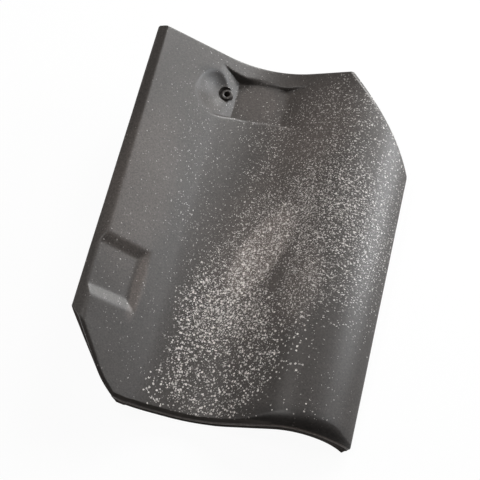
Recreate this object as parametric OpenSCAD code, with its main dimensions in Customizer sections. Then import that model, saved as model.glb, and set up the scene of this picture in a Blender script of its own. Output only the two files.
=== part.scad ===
// S-profile clay roof tile, fired in one piece, with two cut corners.
// x runs across the tile, y from the tail (lower edge on the roof) to the head, z up.
// The section is an upper face and a lower face one sheet thickness apart:
// a straight left flank, a hollow pan, a short ramp and a round roll.

/* [Sheet] */
// Length from tail to head
tile_length = 355; // [320:1:400]
// Thickness of the clay sheet
sheet_t = 11.5; // [10:0.5:13]
// Straight part of the left flank
flank_len = 71; // [62:1:82]
// Slope of the left flank
flank_slope = 30.3; // [28:0.1:33]
// Radius of the pan, on its upper face
pan_r = 89; // [82:1:100]
// Slope of the ramp from the pan to the roll
ramp_slope = 20.8; // [18.5:0.1:23]
// Straight length of the ramp
ramp_len = 39; // [30:1:46]
// Radius of the roll, on its upper face
roll_r = 58; // [54:1:66]

/* [Edges] */
// Width of the left lip's bevel at the head
lip_head_w = 5.6; // [4:0.2:8]
// Height of the left lip's bevel at the head
lip_head_h = 7.2; // [4:0.2:8]
// Width of the left lip's bevel at the cut corner
lip_tail_w = 8.8; // [6:0.2:11]
// Height of the left lip's bevel at the cut corner
lip_tail_h = 8.6; // [5:0.2:9]
// Rounding on the roll's right edge
roll_edge_r = 5.5; // [3:0.5:7]
// Rounding on the head edge
head_edge_r = 2; // [1:0.5:4]
// Rounding on the lower arris all round
under_r = 1.2; // [0.6:0.2:2]
// Rounding of the tail's right corner, seen from above
corner_r = 2; // [2:0.5:8]

/* [Tail nose] */
// Length of the nose's curve in the pan
nose_pan_len = 3; // [2:0.5:6]
// Drop of the nose's curve in the pan
nose_pan_drop = 4.5; // [3:0.5:6]
// Length of the nose's curve on the roll
nose_roll_len = 15; // [10:0.5:17]
// Drop of the nose's curve on the roll
nose_roll_drop = 5.4; // [4:0.2:7]
// Distance that the nose's seam stands back from the lower arris in the pan
nose_pan_back = 0.6; // [0.4:0.2:1.6]
// Distance that the nose's seam stands back from the lower arris on the roll
nose_roll_back = 1.6; // [0.4:0.2:3]
// How late the nose's curve turns down, as a power
nose_turn = 2.2; // [1.6:0.1:3]
// Distance across the section over which the nose grows
nose_grow = 55; // [40:1:90]
// Distance past the top of the roll at which the nose is full
nose_past = 18; // [0:1:30]

/* [Cut corners] */
// Width of the cut at the tail's left corner, along the section
tail_cut_w = 45.5; // [35:0.5:52]
// Length of the cut at the tail's left corner
tail_cut_len = 61.5; // [45:0.5:66]
// How far the tail's cut leans in under the sheet
cut_lean = 6.5; // [0:0.5:8]
// Width that the cut's corner with the tail is rounded off, along the section
tail_corner_w = 5.5; // [2:0.5:8]
// Length that the cut's corner with the tail is rounded off
tail_corner_len = 16; // [8:1:18]
// Width of the cut at the head's right corner, along the section
head_cut_w = 79; // [60:1:86]
// Length of the cut at the head's right corner
head_cut_len = 88; // [70:1:110]
// Bevel of the tail's cut where it meets the tail
cut_edge_r = 2.5; // [1.5:0.5:4]

/* [Side pocket] */
// From the tail to the lower end of the pocket's floor
pocket_y = 84.5; // [82:0.5:110]
// Length of the pocket's floor
pocket_len = 39; // [25:1:60]
// Width of the pocket's floor, from the left edge along the flank
pocket_w = 41.5; // [25:0.5:48]
// Depth of the pocket
pocket_depth = 3.5; // [2:0.5:6]
// Run of the pocket's wall towards the head
pocket_head_run = 6.5; // [4:0.5:14]
// Run of the pocket's wall towards the tail
pocket_tail_run = 10.5; // [4:0.5:14]
// Run of the pocket's wall towards the pan
pocket_side_run = 8.5; // [4:0.5:14]

/* [Head recess] */
// From the head to the upper end of the recess floor
recess_head = 19; // [16:1:40]
// Length of the recess floor
recess_len = 39; // [28:1:60]
// Reach of the floor to the left of the pan's lowest line
recess_left = 32; // [28:1:34]
// Reach of the floor to the right of the pan's lowest line
recess_right = 15; // [8:1:20]
// Depth of the floor under the pan's lowest line
recess_depth = 2.5; // [1.5:0.5:4]
// Slant of the recess wall towards the tail, from upright
recess_tail_draft = 28; // [20:1:60]
// Slant of the recess wall towards the head, from upright
recess_head_draft = 16; // [5:1:32]
// Slant of the recess wall on the side of the roll, from upright
recess_right_draft = 58; // [40:1:62]
// Slant of the recess wall on the side of the nail hole, from upright
recess_left_draft = 44; // [35:1:48]

/* [Nail hole] */
// Diameter of the nail hole
nail_d = 5.5; // [4:0.1:7]
// Distance of the nail hole from the head
nail_head = 38; // [34:1:44]
// Distance of the nail hole to the left of the pan's lowest line
nail_left = 39.5; // [38:0.5:42]
// Radius of the hollow of the round dish beside the nail hole
dish_r = 48; // [42:1:60]
// Depth of the dish
dish_depth = 5; // [3.5:0.25:5.5]
// Distance of the dish's middle from the head
dish_head = 40.5; // [38:0.5:50]
// Distance of the dish's middle to the left of the pan's lowest line
dish_left = 45.5; // [45:0.5:52]
// Diameter of the raised collar round the nail hole
collar_d = 10.5; // [9:0.5:12]
// Height of the collar over the groove round it
collar_h = 3.2; // [2:0.2:4]
// Width of the groove round the collar
groove_w = 2.2; // [1:0.2:3]
// Depth of the groove under the dish
groove_depth = 1.8; // [0.6:0.2:2.4]

/* [Nib] */
// Width of the hanging nib under the head
nib_w = 52; // [36:1:56]
// Middle of the nib, to the right of the pan's lowest line
nib_mid = -6; // [-6:1:6]
// Length of the nib's foot along the tile
nib_len = 16; // [10:1:24]
// Depth of the nib under the sheet, on its tail side
nib_h = 14; // [10:1:20]
// Run of the nib's slanted sides
nib_draft = 3; // [1:0.5:6]
// Distance of the nib's foot from the head
nib_head = 24; // [15:1:40]

/* [Hidden] */
$fn = 48;
clay = "#4a4846";
deg = 180 / PI;

// Rise of the roll over the pan, and the edge slope at which the roll's lower arris
// comes down level with the underside of the pan
roll_rise = (pan_r + roll_r) * (1 - cos(ramp_slope)) + ramp_len * sin(ramp_slope);
arris_slope = acos(1 - roll_rise / (roll_r - sheet_t));
arris_lift = under_r * (sin(arris_slope) + cos(arris_slope) - 1);
edge_slope = arris_slope + deg * arris_lift / ((roll_r - sheet_t) * sin(arris_slope));

// Places along the section, measured on the upper face from the left edge
pan_low = flank_len + pan_r * flank_slope / deg;
ramp_start = pan_low + pan_r * ramp_slope / deg;
roll_start = ramp_start + ramp_len;
roll_top = roll_start + roll_r * ramp_slope / deg;
section_len = roll_top + roll_r * edge_slope / deg;

ramp_x = pan_r * sin(ramp_slope);
ramp_z = pan_r * (1 - cos(ramp_slope));
roll_x = ramp_x + ramp_len * cos(ramp_slope);
roll_z = ramp_z + ramp_len * sin(ramp_slope);

// Slope of the upper face at a place along the section
function slope(s) =
    s < flank_len ? -flank_slope
    : s < ramp_start ? (s - pan_low) / pan_r * deg
    : s < roll_start ? ramp_slope
    : ramp_slope - (s - roll_start) / roll_r * deg;

// Sideways place of the upper face, from the pan's lowest line
function face_x(s) =
    s < flank_len ? -pan_r * sin(flank_slope) - (flank_len - s) * cos(flank_slope)
    : s < ramp_start ? pan_r * sin(slope(s))
    : s < roll_start ? ramp_x + (s - ramp_start) * cos(ramp_slope)
    : roll_x + roll_r * (sin(ramp_slope) - sin(slope(s)));

// Height of the upper face over the pan's lowest line
function face_z(s) =
    s < flank_len ? pan_r * (1 - cos(flank_slope)) + (flank_len - s) * sin(flank_slope)
    : s < ramp_start ? pan_r * (1 - cos(slope(s)))
    : s < roll_start ? ramp_z + (s - ramp_start) * sin(ramp_slope)
    : roll_z + roll_r * (cos(slope(s)) - cos(ramp_slope));

// Point of the sheet at a depth under its upper face
function sheet_point(s, y, depth) = [
    face_x(s) + depth * sin(slope(s)),
    y,
    face_z(s) - depth * cos(slope(s))
];

// Outline of the sheet: the left and right ends of the section at each y
function left_end(y, upper) =
    (upper ? tail_cut_w : tail_cut_w + cut_lean) * max(0, 1 - y / tail_cut_len)
    + tail_corner_w * max(0, 1 - y / tail_corner_len) ^ 2;
function right_end(y) =
    section_len - head_cut_w * max(0, 1 - (tile_length - y) / head_cut_len) - corner_cut(y);
function corner_cut(y) =
    y < corner_r ? corner_r - sqrt(corner_r ^ 2 - (corner_r - y) ^ 2) : 0;

// Width and height of the bevel along the left end. The cut takes the lip's bevel off,
// down to a narrow bevel of its own
function headward(y) = (y - tail_cut_len) / (tile_length - tail_cut_len);
function left_w(y) =
    y < tail_cut_len
    ? max(cut_edge_r, lip_tail_w - left_end(y, true))
    : lip_tail_w + (lip_head_w - lip_tail_w) * headward(y);
function left_h(y) =
    y < tail_cut_len
    ? max(cut_edge_r, lip_tail_h * (1 - left_end(y, true) / lip_tail_w))
    : lip_tail_h + (lip_head_h - lip_tail_h) * headward(y);

// The nose grows from the pan to the roll
function ease(t) = t <= 0 ? 0 : t >= 1 ? 1 : t * t * (3 - 2 * t);
function nose_share(s) = ease((s - roll_top - nose_past + nose_grow) / nose_grow);
function nose_len(s) = nose_pan_len + (nose_roll_len - nose_pan_len) * nose_share(s);
function nose_drop(s) = nose_pan_drop + (nose_roll_drop - nose_pan_drop) * nose_share(s);
function nose_back(s) = nose_pan_back + (nose_roll_back - nose_pan_back) * nose_share(s);

// Steps of the section's rounded and bevelled ends, from the outside in: shares of the
// end's width along the section, and of its height down from the face
round_steps = [for (a = [90, 60, 30, 0]) [1 - sin(a), 1 - cos(a)]];
lip_steps = [[0, 1], [0.7, 0.31], [0.95, 0.09], [1.25, 0]];
step_last = len(round_steps) - 1;
function end_step(col, upper) = upper && col[0] == "left" ? lip_steps[col[2]] : round_steps[col[2]];

// Columns of the loft: [side, place along the full section, step of the end]
pan_columns = 12;
rise_columns = 8;
roll_columns = 24;
inner_places = concat(
    [flank_len / 2, flank_len],
    [for (i = [1:pan_columns]) flank_len + (pan_low - flank_len) * i / pan_columns],
    [for (i = [1:rise_columns]) pan_low + (ramp_start - pan_low) * i / rise_columns],
    [for (i = [0:roll_columns - 1]) roll_start + (section_len - roll_start) * i / roll_columns]
);
columns = concat(
    [for (i = [0:step_last]) ["left", 0, i]],
    [for (s = inner_places) ["inner", s, step_last]],
    [for (i = [step_last:-1:0]) ["right", section_len, i]]
);

// The inner columns close up beside the cut corners
zone_spare = 24;
left_zone = tail_cut_w + zone_spare;
right_zone = head_cut_w + zone_spare;
function inner_place(s, y, edge_w, upper) =
    let (
        left = left_end(y, upper) + edge_w * (upper ? lip_steps[step_last][0] : 1),
        right = right_end(y) - edge_w
    )
    s < left_zone ? left + (left_zone - left) * s / left_zone
    : s > section_len - right_zone
    ? right - (right_zone - section_len + right) * (section_len - s) / right_zone
    : s;

// Rows of the loft: ["tail", share of the nose's curve], ["blend", share], ["body", y] or
// ["head", edge angle], where the blend rows lie between the nose and the first body row
tail_blends = 3;
cut_rows = 6;
head_rows = 8;
body_start = max(nose_roll_len, tail_corner_len) + 4;
head_cut_start = tile_length - head_cut_len;
head_row_end = tile_length - head_edge_r;
function spread(low, high, count) = [for (i = [0:count]) low + (high - low) * i / count];
rows = concat(
    [for (k = [1, 0.87, 0.72, 0.56, 0.38, 0.2, 0]) ["tail", k]],
    [for (i = [1:tail_blends]) ["blend", i / (tail_blends + 1)]],
    [for (y = spread(body_start, tail_cut_len, cut_rows)) ["body", y]],
    [for (y = spread(head_cut_start, head_row_end, head_rows)) ["body", y]],
    [for (a = [15, 45, 90]) ["head", a]]
);

// Place along the tile and sink of a row on the upper face, whose nose follows a power curve,
// and on the lower face, whose tail arris is rounded
function upper_y(row, s) =
    row[0] == "tail" ? nose_len(s) - (nose_len(s) - nose_back(s)) * row[1]
    : row[0] == "blend" ? nose_len(s) + (body_start - nose_len(s)) * row[1]
    : head_y(row);
function lower_y(row) =
    row[0] == "tail" ? under_r * (1 - sin(90 * row[1]))
    : row[0] == "blend" ? under_r + (body_start - under_r) * row[1]
    : head_y(row);
function head_y(row) = row[0] == "head" ? head_row_end + head_edge_r * sin(row[1]) : row[1];
function upper_sink(row, s) =
    row[0] == "tail" ? nose_drop(s) * row[1] ^ nose_turn
    : row[0] == "head" ? head_edge_r * (1 - cos(row[1]))
    : 0;
function lower_sink(row) =
    row[0] == "tail" ? under_r * (1 - cos(90 * row[1]))
    : row[0] == "head" ? under_r * (1 - cos(row[1]))
    : 0;

// A point of the loft. The section's end has a width and a height, and sink is the row's rounding
function loft_point(col, y, edge_w, edge_h, sink, upper) =
    let (
        step = end_step(col, upper),
        inset = edge_w * step[0],
        edge_sink = edge_h * step[1],
        place = col[0] == "left" ? left_end(y, upper) + inset
            : col[0] == "right" ? right_end(y) - inset
            : inner_place(col[1], y, edge_w, upper),
        deep = max(sink, edge_sink)
    )
    sheet_point(place, y, upper ? deep : sheet_t - deep);

function upper_point(col, row) =
    let (
        y = upper_y(row, col[1]),
        left = col[1] < section_len / 2,
        edge_w = left ? left_w(y) : roll_edge_r,
        edge_h = left ? left_h(y) : roll_edge_r
    )
    loft_point(col, y, edge_w, edge_h, upper_sink(row, col[1]), true);

function lower_point(col, row) =
    loft_point(col, lower_y(row), under_r, under_r, lower_sink(row), false);

// Each row is a closed ring: the upper face from left to right, then the lower face back
col_last = len(columns) - 1;
row_last = len(rows) - 1;
ring = 2 * len(columns);
sheet_points = [
    for (row = rows, i = [0:ring - 1])
        i <= col_last ? upper_point(columns[i], row) : lower_point(columns[ring - 1 - i], row)
];
side_faces = [
    for (r = [0:row_last - 1], i = [0:ring - 1], half = [0, 1])
        let (
            a = r * ring + i,
            b = r * ring + (i + 1) % ring
        )
        half == 0 ? [a, a + ring, b] : [b, a + ring, b + ring]
];
end_faces = [
    for (r = [0, row_last], i = [0:col_last - 1], half = [0, 1])
        let (
            a = r * ring + i,
            b = r * ring + ring - 1 - i,
            face = half == 0 ? [a, a + 1, b] : [a + 1, b - 1, b]
        )
        r == 0 ? face : [face[2], face[1], face[0]]
];

// The tile lies on its nib and its tail, so the head is a little higher than the tail
nib_y = tile_length - nib_head - nib_len;
tilt = atan(nib_h / (nib_y - under_r));
function floor_z(y) = -sheet_t - (y - under_r) * tan(tilt);
function laid(p) = [
    p.x,
    p.y * cos(tilt) - p.z * sin(tilt),
    p.y * sin(tilt) + p.z * cos(tilt)
];
laid_points = [for (p = sheet_points) laid(p)];
laid_x = [for (p = laid_points) p.x];
laid_y = [for (p = laid_points) p.y];
middle = [
    (min(laid_x) + max(laid_x)) / 2,
    (min(laid_y) + max(laid_y)) / 2,
    laid([0, under_r, -sheet_t]).z
];

// Height that the pocket's and the recess's cutting shapes stand over the clay
pocket_clear = 5;
recess_clear = 20;

// The sheet, a loft through the rings from tail to head
module sheet() {
    polyhedron(points = sheet_points, faces = concat(side_faces, end_faces));
}

// Corners of a level rectangle, and a four-sided shape between two of them
function corners(x_low, x_high, y_low, y_high, level) = [
    [x_low, y_low, level],
    [x_high, y_low, level],
    [x_high, y_high, level],
    [x_low, y_high, level]
];
module drafted_block(floor_corners, rim_corners) {
    polyhedron(
        points = concat(floor_corners, rim_corners),
        faces = [
            [0, 1, 2], [0, 2, 3], [6, 5, 4], [7, 6, 4],
            [4, 5, 1], [4, 1, 0], [5, 6, 2], [5, 2, 1],
            [6, 7, 3], [6, 3, 2], [7, 4, 0], [7, 0, 3]
        ]
    );
}

// Pocket in the left flank, open at the lip, with slanted walls
module pocket() {
    lift = (pocket_depth + pocket_clear) / pocket_depth;
    x_out = -pocket_w / 2;
    x_rim = pocket_w + lift * pocket_side_run;
    y_low = pocket_y;
    y_high = pocket_y + pocket_len;
    y_rim_low = y_low - lift * pocket_tail_run;
    y_rim_high = y_high + lift * pocket_head_run;
    translate(sheet_point(0, 0, 0))
    rotate([0, flank_slope, 0])
    drafted_block(
        corners(x_out, pocket_w, y_low, y_high, -pocket_depth),
        corners(x_out, x_rim, y_rim_low, y_rim_high, pocket_clear)
    );
}

// Recess over the nib: a level floor with slanted walls
module recess() {
    height = recess_depth + recess_clear;
    x_left = -recess_left - height * tan(recess_left_draft);
    x_right = recess_right + height * tan(recess_right_draft);
    y_low = tile_length - recess_head - recess_len;
    y_high = tile_length - recess_head;
    y_rim_low = y_low - height * tan(recess_tail_draft);
    y_rim_high = y_high + height * tan(recess_head_draft);
    drafted_block(
        corners(-recess_left, recess_right, y_low, y_high, -recess_depth),
        corners(x_left, x_right, y_rim_low, y_rim_high, recess_clear)
    );
}

// The dish is a ball's hollow in the flank, square to the sheet at the dish's middle
dish_y = tile_length - dish_head;
dish_run = dish_left - pan_r * sin(flank_slope);
dish_s = flank_len - dish_run / cos(flank_slope);
dish_ball = sheet_point(dish_s, dish_y, dish_depth - dish_r);

// The nail hole stands upright where the dish meets the recess, with a collar and a groove round it
nail_y = tile_length - nail_head;
ball_seat_z = dish_ball.z - sqrt(dish_r ^ 2 - (dish_ball.x + nail_left) ^ 2 - (nail_y - dish_y) ^ 2);
wall_seat_z = (nail_left - recess_left) / tan(recess_left_draft) - recess_depth;
groove_z = min(ball_seat_z, wall_seat_z) - groove_depth;
groove_d = collar_d + 2 * groove_w;

module nail_dish() {
    translate(dish_ball) sphere(r = dish_r, $fn = 120);
    translate([-nail_left, nail_y, groove_z]) cylinder(d = groove_d, h = dish_r);
}

module nail_collar() {
    root = sheet_t / 4;
    translate([-nail_left, nail_y, groove_z - root]) cylinder(d = collar_d, h = root + collar_h);
}

module nail_hole() {
    translate([-nail_left, nail_y, groove_z - 2 * sheet_t]) cylinder(d = nail_d, h = 4 * sheet_t);
}

// Hanging nib: slanted front and back, and a foot that is level when the tile lies on it
module nib() {
    root_z = -sheet_t / 2;
    y_low = nib_y;
    y_high = nib_y + nib_len;
    translate([nib_mid + nib_w / 2, 0, 0])
    rotate([90, 0, -90])
    linear_extrude(nib_w)
    polygon([
        [-y_low, floor_z(y_low)],
        [-y_high, floor_z(y_high)],
        [-y_high - nib_draft, root_z],
        [-y_low + nib_draft, root_z]
    ]);
}

// The whole tile, laid on the floor with the middle of its box over the origin
module roof_tile() {
    color(clay)
    translate(-middle)
    rotate([tilt, 0, 0])
    difference() {
        union() {
            difference() {
                union() {
                    sheet();
                    nib();
                }
                pocket();
                recess();
                nail_dish();
            }
            nail_collar();
        }
        nail_hole();
    }
}

roof_tile();
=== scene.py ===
"""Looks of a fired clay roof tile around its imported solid, laid out as an add-on."""
import math

import bmesh
import bpy
import numpy as np
from bpy.props import FloatProperty, FloatVectorProperty, PointerProperty
from mathutils import Euler, Matrix, Vector, noise


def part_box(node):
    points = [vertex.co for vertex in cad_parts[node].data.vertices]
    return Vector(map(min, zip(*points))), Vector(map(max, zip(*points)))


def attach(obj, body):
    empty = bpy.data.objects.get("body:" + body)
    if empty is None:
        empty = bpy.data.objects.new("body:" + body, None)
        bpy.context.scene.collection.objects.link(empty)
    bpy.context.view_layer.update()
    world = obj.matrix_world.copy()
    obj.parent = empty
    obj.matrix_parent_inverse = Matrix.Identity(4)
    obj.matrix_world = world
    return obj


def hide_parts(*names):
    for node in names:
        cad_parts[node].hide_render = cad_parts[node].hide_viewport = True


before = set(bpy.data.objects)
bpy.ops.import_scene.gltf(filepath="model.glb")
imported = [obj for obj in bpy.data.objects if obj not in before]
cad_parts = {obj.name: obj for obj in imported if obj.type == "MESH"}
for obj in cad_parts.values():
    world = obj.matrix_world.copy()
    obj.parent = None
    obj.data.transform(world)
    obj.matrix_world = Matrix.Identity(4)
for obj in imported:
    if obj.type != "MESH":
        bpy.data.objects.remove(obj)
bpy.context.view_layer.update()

bl_info = {
    "name": "Clay roof tile",
    "version": (1, 0, 0),
    "blender": (4, 5, 0),
    "location": "3D View > Sidebar > Roof tile",
    "description": "Builds an S-profile fired clay roof tile and a plain studio around it",
    "category": "Object",
}

MM = 0.001
NODE = "roof_tile"
# Colour attribute with how thickly each kind of fleck lies, and in its alpha the tone: painted shade, pale
# film and painted light
FLECKS_AND_SHADE_LAYER = "flecks_and_painted_shade"
# Kinds of rows from tail to head; the join lies between the nose and the body
NOSE, JOIN, BODY, HEAD = range(4)
# Width beside a cut corner over which the columns bend round to follow it
CUT_EASE = 24 * MM
# Half of the square round the nail hole that is taken out of the sheet's grid
NAIL_PATCH = 10 * MM
# Rings of the outer wall from the lower to the upper face, how far each stands out as the tail's
# mould seam, and the ring from which the slip reaches up
WALL_LEVELS = np.array([0, 0.3, 0.6, 0.72, 0.82, 0.92, 1])
SEAM_BEAD = np.array([0, 0, 0, 0.1, 0.8, 1, 0.2])
SLIP_RING = 4
# Lengths of the slow waves of the fired sheet, and the height under which its feet stay even
WAVE_LONG = 38 * MM
WAVE_SHORT = 17 * MM
FEET = 3 * MM

# Where the flecks lie on the tile: middle across and along, half sizes in mm, turn in degrees,
# share of the places that carry a fleck, and how softly the field fades out
FINE_FLECKS = (
    (14, -15, 18, 46, -20, 0.8, 0.5), (10, -28, 40, 70, -15, 0.5, 0.8), (45, 75, 65, 90, 0, 0.32, 0.6),
    (62, 8, 42, 75, 5, 0.36, 0.8), (-6, -72, 40, 32, 0, 0.4, 0.6), (4, -120, 46, 60, 0, 0.36, 0.5),
    (-30, 60, 45, 120, 0, 0.09, 0.8), (-75, 0, 45, 190, 0, 0.05, 0.8), (37, -24, 5, 40, -10, -0.6, 0.7),
    (60, -58, 14, 38, -8, 0.3, 0.8), (-8, 140, 26, 22, 0, -0.06, 0.5), (92, -145, 24, 30, 0, 0.07, 0.8))
ROUND_FLECKS = (
    (3, -120, 45, 68, -3, 0.5, 0.5), (-10, -62, 34, 34, -10, 0.35, 0.9), (-22, -95, 20, 40, -8, 0.2, 0.5),
    (-37, -160, 15, 24, 0, 0.34, 0.5), (50, -95, 28, 40, 0, 0.2, 0.6), (14, -15, 16, 44, -20, 0.55, 0.6),
    (62, -148, 38, 28, 0, 0.02, 0.8))
STREAK_FLECKS = (
    (85, 60, 55, 110, 8, 0.3, 0.6), (70, 0, 45, 70, 10, 0.36, 0.8), (72, -70, 42, 40, 0, 0.1, 0.9),
    (112, -10, 20, 80, 0, 0.1, 0.7))
# Where the tile is darker or paler, round a tone of a half: below it painted shade in the dish and on the
# nose, and a little darker on the roll; above it a pale film on the fan of flecks, painted light on the
# recess floor, and paler patches elsewhere
TONE_AND_PAINTED_SHADE = (
    (0, 0, 400, 400, 0, 0.5, 0.5), (14, -15, 18, 46, -20, 0.15, 0.6), (-98, 10, 26, 80, 0, 0.07, 0.8),
    (28, 10, 45, 120, -8, 0.06, 0.8), (58, -55, 14, 34, -8, 0.06, 0.9), (-22, 0, 25, 45, 0, 0.02, 0.8),
    (78, 40, 26, 60, 5, -0.05, 0.9), (28, 122, 45, 45, 0, 0.04, 0.8), (76, -171, 50, 11, 0, -0.28, 0.9),
    (-66, 150, 13, 7, 0, -0.35, 0.9), (-24, 140, 18, 20, 0, 0.05, 0.5), (-78, -80, 5, 30, 0, 0.12, 0.6))
# Tones of the mould seam, a painted highlight on its bead, and of faces turned to the tail or down, painted
# shade
SEAM_PAINTED_HIGHLIGHT = 0.72
EDGE_PAINTED_SHADE = 0.3


def linear(hex_colour):
    """Linear colour of an sRGB hex value such as "4a4846"."""
    parts = [int(hex_colour[i:i + 2], 16) / 255 for i in (0, 2, 4)]
    return [c / 12.92 if c <= 0.04045 else ((c + 0.055) / 1.055) ** 2.4 for c in parts]


def size(name, description, mm):
    """A length property with its default in millimetres."""
    return FloatProperty(name=name, description=description, default=mm * MM, unit='LENGTH', precision=4)


def angle(name, description, degrees):
    """An angle property with its default in degrees."""
    return FloatProperty(name=name, description=description, default=math.radians(degrees), unit='ROTATION')


def number(name, description, value):
    """A property that is a plain number."""
    return FloatProperty(name=name, description=description, default=value)


def colour(name, description, hex_colour):
    """A colour property with its default as an sRGB hex value."""
    return FloatVectorProperty(
        name=name, description=description, default=linear(hex_colour), subtype='COLOR')


class RoofTileSizes(bpy.types.PropertyGroup):
    """Sizes of the pressed tile.

    They are those of its solid, but for the seam, the softness, the tail's swell and how the nose, the
    pocket's head wall and the recess's head wall run.
    """

    tile_length: size("Length", "From the tail to the head", 355)
    sheet_t: size("Thickness", "Thickness of the clay sheet", 11.5)
    flank_len: size("Flank", "Straight part of the left flank", 71)
    flank_slope: angle("Flank slope", "Slope of the left flank", 30.3)
    pan_r: size("Pan radius", "Radius of the pan's upper face", 89)
    ramp_slope: angle("Ramp slope", "Slope between the pan and the roll", 20.8)
    ramp_len: size("Ramp", "Straight length between the pan and the roll", 39)
    roll_r: size("Roll radius", "Radius of the roll's upper face", 58)
    lip_head_w: size("Lip width, head", "Width of the left lip's bevel at the head", 5.6)
    lip_head_h: size("Lip height, head", "Height of the left lip's bevel at the head", 7.2)
    lip_tail_w: size("Lip width, tail", "Width of the left lip's bevel at the cut corner", 8.8)
    lip_tail_h: size("Lip height, tail", "Height of the left lip's bevel at the cut corner", 8.6)
    roll_edge_r: size("Roll edge", "Rounding on the roll's right edge", 5.5)
    head_edge_r: size("Head edge", "Rounding on the head edge", 2)
    under_r: size("Lower arris", "Rounding on the lower arris", 1.2)
    corner_r: size("Tail corner", "Rounding of the tail's right corner, seen from above", 2)
    nose_pan_len: size("Nose in pan", "Length of the tail's nose in the pan", 3)
    nose_pan_drop: size("Nose drop in pan", "Drop of the tail's nose in the pan", 4.5)
    nose_roll_len: size("Nose on roll", "Length of the tail's nose on the roll", 15)
    nose_roll_drop: size("Nose drop on roll", "Drop of the tail's nose on the roll", 5.4)
    nose_pan_back: size("Seam back in pan", "From the lower arris back to the nose's seam, in the pan", 0.6)
    nose_roll_back: size("Seam back on roll", "From the lower arris back to the nose's seam, on roll", 1.6)
    nose_turn: number("Nose turn", "How late the nose's curve turns down, as a power", 2.2)
    nose_edge: number("Nose at edge", "Share of the nose that is left at the roll's right edge", 0.35)
    nose_fade: size("Nose fade", "Width over which the nose fades towards the roll's right edge", 32)
    nose_grow: size("Nose growth", "Width over which the nose grows", 50)
    nose_past: size("Nose full", "Distance past the roll's top at which the nose is full", -4)
    seam_h: size("Seam", "Height of the mould seam along the tail", 0.8)
    tail_cut_w: size("Tail cut width", "Width of the cut at the tail's left corner", 45.5)
    tail_cut_len: size("Tail cut length", "Length of the cut at the tail's left corner", 61.5)
    tail_swell: size("Tail swell", "How far the tail edge swells out at the cut corner", 2.3)
    tail_swell_w: size("Tail swell width", "Width over which the tail's swell dies out", 50)
    cut_lean: size("Cut lean", "How far the tail's cut leans in under the sheet", 6.5)
    cut_edge_r: size("Cut bevel", "Bevel of the tail's cut where it meets the tail", 2.5)
    tail_corner_w: size("Tail corner width", "Width that the cut's corner is rounded off", 5.5)
    tail_corner_len: size("Tail corner length", "Length that the cut's corner is rounded off", 16)
    head_cut_w: size("Head cut width", "Width of the cut at the head's right corner", 79)
    head_cut_len: size("Head cut length", "Length of the cut at the head's right corner", 88)
    pocket_y: size("Pocket place", "From the tail to the pocket's floor", 84.5)
    pocket_len: size("Pocket length", "Length of the pocket's floor", 39)
    pocket_w: size("Pocket width", "Width of the pocket's floor", 41.5)
    pocket_depth: size("Pocket depth", "Depth of the pocket", 3.5)
    pocket_head_run: size("Pocket head wall", "Run of the pocket's wall towards the head", 9.5)
    pocket_skew: size("Pocket skew", "How much farther the pocket reaches to the head at the lip", 2.5)
    pocket_tail_run: size("Pocket tail wall", "Run of the pocket's wall towards the tail", 10.5)
    pocket_side_run: size("Pocket side wall", "Run of the pocket's wall towards the pan", 8.5)
    recess_head: size("Recess place", "From the head to the recess floor", 19)
    recess_len: size("Recess length", "Length of the recess floor", 39)
    recess_left: size("Recess left", "Reach of the recess floor to the left", 32)
    recess_right: size("Recess right", "Reach of the recess floor to the right", 15)
    recess_depth: size("Recess depth", "Depth of the recess under the pan", 2.5)
    recess_tail_draft: angle("Recess tail draft", "Slant of the recess wall towards the tail", 28)
    recess_head_draft: angle("Recess head draft", "Slant of the head wall of the recess, at its ends", 24)
    recess_ease: angle("Recess ease", "How much more the head wall slants in its middle", 28)
    recess_right_draft: angle("Recess right draft", "Slant of the recess wall towards the roll", 58)
    recess_left_draft: angle("Recess left draft", "Slant of the recess wall towards the lip", 44)
    nail_d: size("Nail hole", "Diameter of the nail hole", 5.5)
    nail_head: size("Nail hole, head", "Distance of the nail hole from the head", 38)
    nail_left: size("Nail hole, left", "From the pan's lowest line left to the nail hole", 39.5)
    dish_r: size("Dish radius", "Radius of the hollow beside the nail hole", 48)
    dish_depth: size("Dish depth", "Depth of the hollow beside the nail hole", 5)
    dish_head: size("Dish, head", "Distance of the hollow's middle from the head", 40.5)
    dish_left: size("Dish, left", "From the pan's lowest line left to the hollow's middle", 45.5)
    collar_d: size("Collar", "Diameter of the collar round the nail hole", 10.5)
    collar_h: size("Collar height", "Height of the collar over its groove", 3.2)
    groove_w: size("Groove", "Width of the groove round the collar", 2.2)
    groove_depth: size("Groove depth", "Depth of the groove under the hollow", 1.8)
    nib_w: size("Nib width", "Width of the hanging nib", 52)
    nib_mid: size("Nib middle", "Middle of the nib to the right of the pan's lowest line", -6)
    nib_len: size("Nib length", "Length of the nib's foot", 16)
    nib_h: size("Nib depth", "Depth of the nib under the sheet", 14)
    nib_draft: size("Nib draft", "Run of the nib's slanted sides", 3)
    nib_edge: size("Nib edge", "Bevel round the nib's foot", 1.4)
    nib_head: size("Nib place", "Distance of the nib's foot from the head", 24)
    middle_x: size("Middle across", "From the pan's lowest line to the middle of the tile's box", 12.8702)
    middle_y: size("Middle along", "From the tail to the middle of the tile's box, laid flat", 177.261)
    soften: size("Softness", "How far the edges of the pressed hollows are softened", 1.6)
    unevenness: size("Unevenness", "Height of the slow waves that pressing and firing leave", 0.12)


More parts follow.
